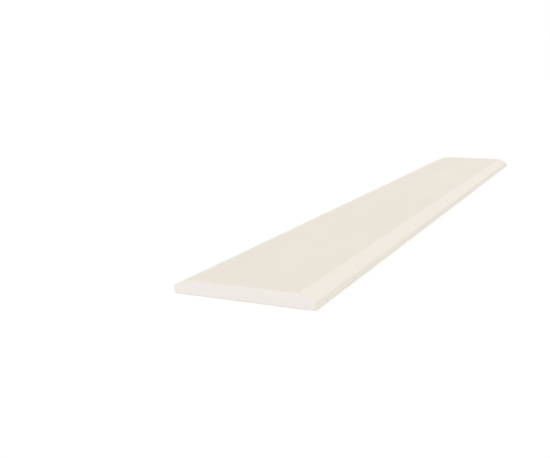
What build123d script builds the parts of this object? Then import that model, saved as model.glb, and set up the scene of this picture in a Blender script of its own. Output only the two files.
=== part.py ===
"""Threshold saddle, one piece of plain cream solid-surface stock, for the floor of a doorway.

A flat bar with a wide level tread, a long shallow bevel down each side and a low upright edge
below each bevel, where the flooring of either room butts against it. Both ends are sawn square
and every sharp edge is eased by hand. It lies on its underside: X runs along the doorway, Y
across it, Z up, and the origin is the middle of the underside.
"""

import os

from build123d import *

# Sizes of the stock, in millimetres
length = 914.4
width = 127.0
thickness = 12.7

# The profile that is ground along both long sides
bevel_run = 14.3
edge_height = 7.1

# How far the edges are eased
crease_radius = 1.5
arris_radius = 0.5


def bevelled_bar():
    """The section across the doorway, run out to both ends, with its creases already eased."""
    with BuildPart() as bar:
        with BuildSketch(Plane.YZ) as section:
            with BuildLine():
                Polyline(
                    (0, 0),
                    (width / 2, 0),
                    (width / 2, edge_height),
                    (width / 2 - bevel_run, thickness),
                    (0, thickness),
                )
                mirror(about=Plane.YZ)
            make_face()
            creases = section.vertices().group_by(Axis.Y)[-1]
            fillet(creases, radius=crease_radius)
        extrude(amount=length / 2, both=True)
        ease_sharp_edges(bar)
    return bar.part


def ease_sharp_edges(bar):
    """Rounds the two long edges of each upright side, and every edge of the sawn ends."""
    along = bar.edges().filter_by(Axis.X).group_by(Axis.Y)
    ends = bar.faces().sort_by(Axis.X)
    fillet(along[0] + along[-1] + ends[0].edges() + ends[-1].edges(), radius=arris_radius)


threshold_saddle = bevelled_bar()
threshold_saddle.label = "threshold_saddle"

os.makedirs("parts", exist_ok=True)
export_step(threshold_saddle, "parts/threshold_saddle.step")

box = threshold_saddle.bounding_box().size
print(f"threshold saddle {box.X:.1f} x {box.Y:.1f} x {box.Z:.1f} mm")
print(f"volume {threshold_saddle.volume / 1000:.1f} cm3, {len(threshold_saddle.faces())} faces")
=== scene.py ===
# %% [markdown]
# # Threshold saddle
#
# A threshold saddle is the flat bar that lies on the floor of a doorway and covers the joint between
# two rooms. This one is a single piece of plain cream solid surface, a resin filled with fine white
# mineral: a level tread, a long shallow bevel down each side, and a low upright edge below each bevel.
#
# The CAD model already has the right shape, down to the eased edges, so nothing is modelled again here.
# Blender's work is the finish of each face, the light, the floor and the camera.

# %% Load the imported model
import math

import bmesh
import bpy
from mathutils import Matrix, Vector


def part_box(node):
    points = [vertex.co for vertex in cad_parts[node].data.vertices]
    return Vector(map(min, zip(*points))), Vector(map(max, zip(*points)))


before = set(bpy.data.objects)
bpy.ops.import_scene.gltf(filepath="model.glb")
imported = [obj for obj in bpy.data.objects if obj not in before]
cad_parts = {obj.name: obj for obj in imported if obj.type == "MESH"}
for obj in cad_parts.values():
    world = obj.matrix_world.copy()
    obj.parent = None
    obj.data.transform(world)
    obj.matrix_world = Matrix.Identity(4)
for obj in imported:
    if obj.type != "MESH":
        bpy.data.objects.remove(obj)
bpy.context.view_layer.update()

MM_IN_METRE = 1000

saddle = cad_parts["threshold_saddle"]
low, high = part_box("threshold_saddle")
length, width, thickness = (high - low) * MM_IN_METRE
print(f"saddle {length:.1f} x {width:.1f} x {thickness:.1f} mm, {len(saddle.data.polygons)} triangles")

# %% [markdown]
# ## Colours and nodes
#
# A colour is mostly written in sRGB, which is what a screen shows. A shader adds up light, so it needs
# the same colour on a linear scale. One function turns the first into the second, with the numbers of
# the sRGB standard, and every colour below is written the way a paint chart would give it.

# %% A colour for a shader
def linear(hex_colour):
    """The linear red, green, blue and alpha of an sRGB colour such as #ECE6D9."""
    shares = [int(hex_colour[i:i + 2], 16) / 255 for i in (1, 3, 5)]
    return [s / 12.92 if s <= 0.04045 else ((s + 0.055) / 1.055) ** 2.4 for s in shares] + [1.0]


print("a mid grey of #808080 is", round(linear("#808080")[0], 3), "in linear light")

# %% [markdown]
# A material is a small network: patterns feed numbers, numbers mix colours, and the shader takes the
# result. Each node is added in the same way, with its own settings and with what goes into its
# sockets, which is a plain value, or an earlier node, or one output of an earlier node. Written like
# this, a material reads from top to bottom. Some nodes keep unused sockets of the same name, hidden
# for another kind of data, so only a socket that is enabled counts.

# %% A node with its settings and links
def add_node(tree, kind, settings, sockets):
    """Adds a node. A socket is named, or numbered where all have one name, as in a Math node."""
    node = tree.nodes.new(kind)
    for name, value in settings.items():
        setattr(node, name, value)
    for name, value in sockets.items():
        socket = node.inputs[name] if isinstance(name, int) else next(
            s for s in node.inputs if s.enabled and s.name == name)
        if isinstance(value, bpy.types.Node):
            value = next(s for s in value.outputs if s.enabled)
        if isinstance(value, bpy.types.NodeSocket):
            tree.links.new(value, socket)
        else:
            socket.default_value = value
    return node


def new_material(name):
    """An empty material, and its node tree."""
    material = bpy.data.materials.new(name)
    material.use_nodes = True
    material.node_tree.nodes.clear()
    return material, material.node_tree


# %% [markdown]
# ## The saddle's finish
#
# Solid surface is one material all through, so there is one material here too. What differs from
# face to face is how it was worked: the tread, the bevels and the edges were machine sanded along
# their length, the ends were sawn, and the underside was only ground flat. Each of these is a
# pattern of its own, and the place on the piece says which one shows.
#
# The patterns need a ruler. Object coordinates are metres from the piece's origin, so times 1000
# they are millimetres, and every size of a pattern below can be read as a real one.

# %% Millimetres on the piece
saddle_finish, tree = new_material("sanded_cream_solid_surface")

ruler = add_node(tree, "ShaderNodeTexCoord", {}, {})
in_mm = add_node(tree, "ShaderNodeVectorMath", {"operation": "SCALE"},
                 {"Vector": ruler.outputs["Object"], "Scale": MM_IN_METRE})
place = add_node(tree, "ShaderNodeSeparateXYZ", {}, {"Vector": in_mm})
print("one unit of every pattern is a millimetre, along, across and up the saddle")

# %% [markdown]
# Where a face begins is known from its place. The bevels begin where the level tread stops, which
# the mesh itself tells: it is as far out as any point at full height. The crease there is rounded, so
# the finish turns over a millimetre. The ends and the underside are the very last of the length and
# of the height, a skin of a twentieth of a millimetre. Just before the ends comes the arris, the edge
# that a hand with fine paper rounded to half a millimetre. So each face after the tread is one
# distance, with a start and a place where it shows in full, and Map Range turns that into a share
# from 0 to 1. The order matters: a later face lies over the ones before it.

# %% Which face a point is on
CREASE = 1.0
ARRIS, ARRIS_FULL = 0.5, 0.25
SKIN, SKIN_FULL = 0.05, 0.01
LEVEL_WITHIN = 0.001

full_height = high.z - LEVEL_WITHIN / MM_IN_METRE
tread_edge = max(v.co.y for v in saddle.data.vertices if v.co.z > full_height) * MM_IN_METRE
end_plane = length / 2
from_centre_line = add_node(tree, "ShaderNodeMath", {"operation": "ABSOLUTE"},
                            {0: place.outputs["Y"]})
from_middle = add_node(tree, "ShaderNodeMath", {"operation": "ABSOLUTE"}, {0: place.outputs["X"]})

share_of = {}
for face, distance, start, full in [
        # painted light: the bevels and edges get a paler cream below
        ("side_painted_light", from_centre_line, tread_edge, tread_edge + CREASE),
        # painted shade: the arris gets the deepest cream below
        ("arris_painted_shade", from_middle, end_plane - ARRIS, end_plane - ARRIS_FULL),
        ("underside", place.outputs["Z"], SKIN, SKIN_FULL),
        ("end", from_middle, end_plane - SKIN, end_plane - SKIN_FULL)]:
    share_of[face] = add_node(tree, "ShaderNodeMapRange", {"interpolation_type": "SMOOTHSTEP"},
                              {"Value": distance, "From Min": start, "From Max": full})
    print(f"the {face} begins {start:.2f} mm from the saddle's origin")
print(f"the tread is {2 * tread_edge:.1f} mm wide between its bevels")

# %% [markdown]
# ### What the material is made of
#
# Up close the filler shows as grains of a millimetre and less, some a shade paler and some a shade
# deeper. Over a hand's width the cast sheet is faintly cloudy, drawn out along the length. Both are
# so weak that the piece reads as one plain cream, as it should. Cells from a Voronoi texture are the
# grains, because each cell has one random value. Its Detail lays smaller cells over the large ones,
# since crushed mineral comes in all sizes, and a little Noise added to the place bends their
# straight sides. A second Noise texture is the cloud.

# %% Grains and clouds
GRAIN = 1.1
GRAIN_BEND = 0.5
CLOUD = 45
CLOUD_STRETCH = 3

bend = add_node(tree, "ShaderNodeTexNoise", {}, {"Vector": in_mm, "Scale": 1 / GRAIN, "Detail": 1})
grain_place = add_node(tree, "ShaderNodeVectorMath", {"operation": "MULTIPLY_ADD"},
                       {0: bend.outputs["Color"], 1: (GRAIN_BEND, GRAIN_BEND, GRAIN_BEND), 2: in_mm})
grain_cells = add_node(tree, "ShaderNodeTexVoronoi", {"feature": "F1", "normalize": True},
                       {"Vector": grain_place, "Scale": 1 / GRAIN, "Detail": 2, "Roughness": 0.7})
grains = add_node(tree, "ShaderNodeSeparateColor", {}, {"Color": grain_cells.outputs["Color"]})
cloud_place = add_node(tree, "ShaderNodeMapping", {},
                       {"Vector": in_mm, "Scale": (1 / CLOUD_STRETCH, 1, 1)})
clouds = add_node(tree, "ShaderNodeTexNoise", {},
                  {"Vector": cloud_place, "Scale": 1 / CLOUD, "Detail": 3, "Roughness": 0.5})
print(f"grains up to {GRAIN} mm, clouds {CLOUD} mm by {CLOUD * CLOUD_STRETCH} mm")

# %% [markdown]
# ### Sanding lines
#
# A wide belt runs along the bar and leaves straight, shallow scratches. With a fine belt they lie
# about 0.1 mm apart. They are drawn at 0.4 mm here, because finer lines melt together even in a close
# view. Noise squeezed across and up the piece and stretched along it gives lines that start and
# stop, like real ones, on the tread, the bevels and the edges at once.

# %% Sanding lines along the length
LINE_SPACING = 0.4
LINE_LENGTH = 60

line_place = add_node(tree, "ShaderNodeMapping", {},
                      {"Vector": in_mm, "Scale": (LINE_SPACING / LINE_LENGTH, 1, 1)})
sanding = add_node(tree, "ShaderNodeTexNoise", {},
                   {"Vector": line_place, "Scale": 1 / LINE_SPACING, "Detail": 2, "Roughness": 0.6})
print(f"sanding lines {LINE_SPACING} mm apart, about {LINE_LENGTH} mm long")

# %% [markdown]
# ### Saw marks on the ends
#
# The bar is cut to length by a diamond blade that passes over it and reaches 2 mm below it, and its
# rim leaves a row of shallow arcs on the sawn face. Every arc is the same curve, a piece of the
# blade's circle, moved along by the feed. So the pattern is one line of noise, read at a place that
# is shifted by the curve of the rim: at each height, the distance that the rim has swung out from its
# lowest point.

# %% Saw marks
BLADE_RADIUS = 175
BLADE_BELOW = 2
FEED = 0.9

hub_height = BLADE_RADIUS - BLADE_BELOW
drop = add_node(tree, "ShaderNodeMath", {"operation": "SUBTRACT"},
                {0: hub_height, 1: place.outputs["Z"]})
drop_squared = add_node(tree, "ShaderNodeMath", {"operation": "POWER"}, {0: drop, 1: 2})
swing_squared = add_node(tree, "ShaderNodeMath", {"operation": "SUBTRACT"},
                         {0: BLADE_RADIUS ** 2, 1: drop_squared})
swing = add_node(tree, "ShaderNodeMath", {"operation": "SQRT"}, {0: swing_squared})
arc = add_node(tree, "ShaderNodeMath", {"operation": "SUBTRACT"}, {0: place.outputs["Y"], 1: swing})
saw_marks = add_node(tree, "ShaderNodeTexNoise", {"noise_dimensions": "1D"},
                     {"W": arc, "Scale": 1 / FEED, "Detail": 2, "Roughness": 0.5})
print(f"saw marks of a {2 * BLADE_RADIUS} mm blade, {FEED} mm apart")

# %% [markdown]
# ### Grinding lines on the underside
#
# The underside is only brought to thickness, by a coarse drum, so its lines are wider and deeper.
# Nobody sees it once the saddle is bedded down, and the roughness helps the mortar to hold.

# %% Grinding lines
COARSE_SPACING = 1.4
COARSE_LENGTH = 180

coarse_place = add_node(tree, "ShaderNodeMapping", {},
                        {"Vector": in_mm, "Scale": (COARSE_SPACING / COARSE_LENGTH, 1, 1)})
grinding = add_node(
    tree, "ShaderNodeTexNoise", {},
    {"Vector": coarse_place, "Scale": 1 / COARSE_SPACING, "Detail": 3, "Roughness": 0.6})
print(f"grinding lines {COARSE_SPACING} mm apart")

# %% [markdown]
# ### From patterns to colour
#
# Every pattern is a number round one half. The work on each face is picked by the face: sanding
# lines, saw marks or grinding lines. Then cloud, grain and work are added up, each with its own
# weight, and the sum moves the colour between a deeper and a paler cream. Each kind of face has its
# own pair. The bevels and the edges get a pair a step paler and greyer than the tread, which is
# painted light: it lifts them as a low lamp would. The sawn ends are greyer, under a bloom of fine
# white scratches that hides the cream, and so is the underside, a little. The arris gets the deepest
# cream, a painted shade that keeps the rounded edge from shining out as a white line.

# %% The tone of every point
ONE_HALF = 0.5
CLOUD_WEIGHT = 0.8
GRAIN_WEIGHT = 0.8
WORK_WEIGHT = 0.8

work = sanding
for face, pattern in [("underside", grinding), ("end", saw_marks)]:
    work = add_node(tree, "ShaderNodeMix", {"data_type": "FLOAT"},
                    {"Factor": share_of[face], "A": work, "B": pattern})

tone = ONE_HALF
for pattern, weight in [(clouds, CLOUD_WEIGHT), (grains, GRAIN_WEIGHT), (work, WORK_WEIGHT)]:
    centred = add_node(tree, "ShaderNodeMath", {"operation": "SUBTRACT"}, {0: pattern, 1: ONE_HALF})
    tone = add_node(tree, "ShaderNodeMath", {"operation": "MULTIPLY_ADD"},
                    {0: centred, 1: weight, 2: tone})

CREAMS = {
    "tread": ("#E6DFD1", "#EDE6D9"),
    # painted light: paler than the tread, to lift the bevels and the edges
    "side_painted_light": ("#EAE3D7", "#F1EADF"),
    # painted shade: deeper than the tread, to keep the rounded edge from shining
    "arris_painted_shade": ("#E4DCD0", "#EBE3D8"),
    "underside": ("#E3DDD2", "#ECE7DE"),
    "end": ("#E8E3DD", "#EFEAE5"),
}

for face, (deep, pale) in CREAMS.items():
    cream = add_node(tree, "ShaderNodeMix", {"data_type": "RGBA"},
                     {"Factor": tone, "A": linear(deep), "B": linear(pale)})
    colour = cream if face == "tread" else add_node(
        tree, "ShaderNodeMix", {"data_type": "RGBA"},
        {"Factor": share_of[face], "A": colour, "B": cream})
    print(f"{face} from {deep} to {pale}")

# %% [markdown]
# ### From patterns to gloss and relief
#
# Fine sanding leaves a satin that shows no clear reflection, a saw or a coarse drum leaves it matt,
# and in both the lines are streaks of a little more or less gloss. The resin is an acrylic, with an
# IOR of 1.49, and the mineral in it is only a little higher, so the mix gets 1.5. The lines also have
# a depth, a few thousandths of a millimetre where the face is sanded and a few hundredths where it is
# raw, which a Bump node turns into a slightly tilted surface. It needs the height in the scene's own
# unit, the metre.

# %% Gloss and relief
SANDED_ROUGHNESS, RAW_ROUGHNESS = 0.6, 0.8
STREAK_ROUGHNESS = 0.2
LINE_DEPTH, RAW_DEPTH = 0.006, 0.03
RESIN_IOR = 1.5

raw = add_node(tree, "ShaderNodeMath", {"operation": "MAXIMUM"},
               {0: share_of["end"], 1: share_of["underside"]})
face_roughness = add_node(tree, "ShaderNodeMapRange", {},
                          {"Value": raw, "To Min": SANDED_ROUGHNESS, "To Max": RAW_ROUGHNESS})
streaks = add_node(tree, "ShaderNodeMath", {"operation": "SUBTRACT"}, {0: work, 1: ONE_HALF})
roughness = add_node(tree, "ShaderNodeMath", {"operation": "MULTIPLY_ADD"},
                     {0: streaks, 1: STREAK_ROUGHNESS, 2: face_roughness})
depth = add_node(
    tree, "ShaderNodeMapRange", {},
    {"Value": raw, "To Min": LINE_DEPTH / MM_IN_METRE, "To Max": RAW_DEPTH / MM_IN_METRE})
height = add_node(tree, "ShaderNodeMath", {"operation": "MULTIPLY"}, {0: work, 1: depth})
relief = add_node(tree, "ShaderNodeBump", {}, {"Height": height, "Distance": 1.0, "Strength": 1.0})
shader = add_node(tree, "ShaderNodeBsdfPrincipled", {},
                  {"Base Color": colour, "Roughness": roughness, "IOR": RESIN_IOR, "Normal": relief})
add_node(tree, "ShaderNodeOutputMaterial", {}, {"Surface": shader})

saddle.material_slots[0].material = saddle_finish
print(saddle_finish.name, "has", len(tree.nodes), "nodes")

# %% [markdown]
# ## The floor and the light
#
# The picture is a plain product shot: a white sheet, white light from everywhere and one large soft
# lamp at the camera's right shoulder. A white sheet that only reflects would look grey, since even
# paper swallows a fifth of the light. Light Path's Is Camera Ray tells the floor that the camera is
# looking at it, and it adds a little over that fifth, so the floor shows white and still carries a
# shadow.

# %% The floor
FLOOR_SIZE = 30
PAPER, WHITE = "#E7E7E7", "#FFFFFF"
FLOOR_LIFT = 0.23

floor_mesh = bmesh.new()
bmesh.ops.create_grid(floor_mesh, x_segments=1, y_segments=1, size=FLOOR_SIZE / 2)
floor_data = bpy.data.meshes.new("floor")
floor_mesh.to_mesh(floor_data)
floor_mesh.free()
floor = bpy.data.objects.new("floor", floor_data)
bpy.context.scene.collection.objects.link(floor)

floor_finish, tree = new_material("matt_white_paper")
floor_data.materials.append(floor_finish)
path = add_node(tree, "ShaderNodeLightPath", {}, {})
paper = add_node(tree, "ShaderNodeBsdfDiffuse", {}, {"Color": linear(PAPER)})
lift = add_node(tree, "ShaderNodeMath", {"operation": "MULTIPLY"},
                {0: path.outputs["Is Camera Ray"], 1: FLOOR_LIFT})
glow = add_node(tree, "ShaderNodeEmission", {}, {"Color": linear(WHITE), "Strength": lift})
sheet = add_node(tree, "ShaderNodeAddShader", {}, {0: paper, 1: glow})
add_node(tree, "ShaderNodeOutputMaterial", {}, {"Surface": sheet})
print("floor", FLOOR_SIZE, "m square")

# %% [markdown]
# The world is the white room round the sheet. Its walls are brighter than its ceiling, as in a light
# tent, so the low edges get as much light as the tread. How far a direction points up is the Z of
# the world's Generated coordinate. The camera and any reflection see plain white instead, which is a
# strength of 1, so that the room meets the floor without a line.

# %% The room
CEILING_LIGHT, WALL_LIGHT, SEEN_LIGHT = 0.7, 1.2, 1.0

world = bpy.data.worlds.new("white_room")
bpy.context.scene.world = world
world.use_nodes = True
tree = world.node_tree
tree.nodes.clear()
path = add_node(tree, "ShaderNodeLightPath", {}, {})
seen = add_node(tree, "ShaderNodeMath", {"operation": "MAXIMUM"},
                {0: path.outputs["Is Camera Ray"], 1: path.outputs["Is Glossy Ray"]})
seen = add_node(tree, "ShaderNodeMath", {"operation": "MAXIMUM"},
                {0: seen, 1: path.outputs["Is Transmission Ray"]})
direction = add_node(tree, "ShaderNodeTexCoord", {}, {})
upward = add_node(tree, "ShaderNodeSeparateXYZ", {}, {"Vector": direction.outputs["Generated"]})
room_light = add_node(tree, "ShaderNodeMapRange", {},
                      {"Value": upward.outputs["Z"], "To Min": WALL_LIGHT, "To Max": CEILING_LIGHT})
strength = add_node(tree, "ShaderNodeMix", {"data_type": "FLOAT"},
                    {"Factor": seen, "A": room_light, "B": SEEN_LIGHT})
background = add_node(tree, "ShaderNodeBackground", {}, {"Color": linear(WHITE), "Strength": strength})
add_node(tree, "ShaderNodeOutputWorld", {}, {"Surface": background})
print("walls", WALL_LIGHT, "ceiling", CEILING_LIGHT)

# %% [markdown]
# The lamp is a sun with a disc 60 degrees wide. Up close a large softbox and a wide sun look the
# same, but the sun lights the floor evenly all the way to the horizon, where a softbox would fade. A
# lamp of strength pi, shining straight down, would render a colour just as it is written. The lamp's
# aim and strength come from how much each face should get: along the length, across it and from
# above.

# %% The lamp
LAMP_ON_END, LAMP_ON_EDGE, LAMP_ON_TREAD = 0.15, 0.08, 0.13
LAMP_DISC = 60

toward_lamp = Vector((-LAMP_ON_END, -LAMP_ON_EDGE, LAMP_ON_TREAD))
lamp_data = bpy.data.lights.new("soft_lamp", "SUN")
lamp_data.energy = math.pi * toward_lamp.length
lamp_data.angle = math.radians(LAMP_DISC)
lamp = bpy.data.objects.new("soft_lamp", lamp_data)
lamp.rotation_euler = toward_lamp.to_track_quat("Z", "Y").to_euler()
bpy.context.scene.collection.objects.link(lamp)
lamp_height = math.degrees(math.asin(toward_lamp.normalized().z))
print(f"the lamp stands {lamp_height:.0f} degrees above the floor, at strength {lamp_data.energy:.2f}")

# %% [markdown]
# ## The camera
#
# The camera stands low, off one end and a little to the side, and looks along the bar. Its place, its
# aim and its lens were worked out from where the photograph shows the bar's corners and edges. It
# leans over by about a degree, and it sees 100 m far, well past the end of the floor.

# %% The camera
CAMERA_PLACE = Vector((-0.9587, -0.2719, 0.1794))
CAMERA_AIM = Vector((-0.2508, 0.0693, 0.0127))
CAMERA_LEAN = -1.021
LENS, SENSOR_WIDTH = 48.97, 36
SIGHT = 100

camera_data = bpy.data.cameras.new("camera")
camera_data.lens = LENS
camera_data.sensor_width = SENSOR_WIDTH
camera_data.clip_end = SIGHT
camera = bpy.data.objects.new("camera", camera_data)
camera.rotation_mode = "QUATERNION"
camera.location = CAMERA_PLACE
look = (CAMERA_AIM - CAMERA_PLACE).to_track_quat("-Z", "Y")
lean = Matrix.Rotation(math.radians(CAMERA_LEAN), 3, "Z").to_quaternion()
camera.rotation_quaternion = look @ lean
bpy.context.scene.collection.objects.link(camera)
bpy.context.scene.camera = camera
bpy.context.scene.view_settings.view_transform = "Standard"
print(f"camera {CAMERA_PLACE.length:.2f} m from the middle of the saddle, {LENS} mm lens")
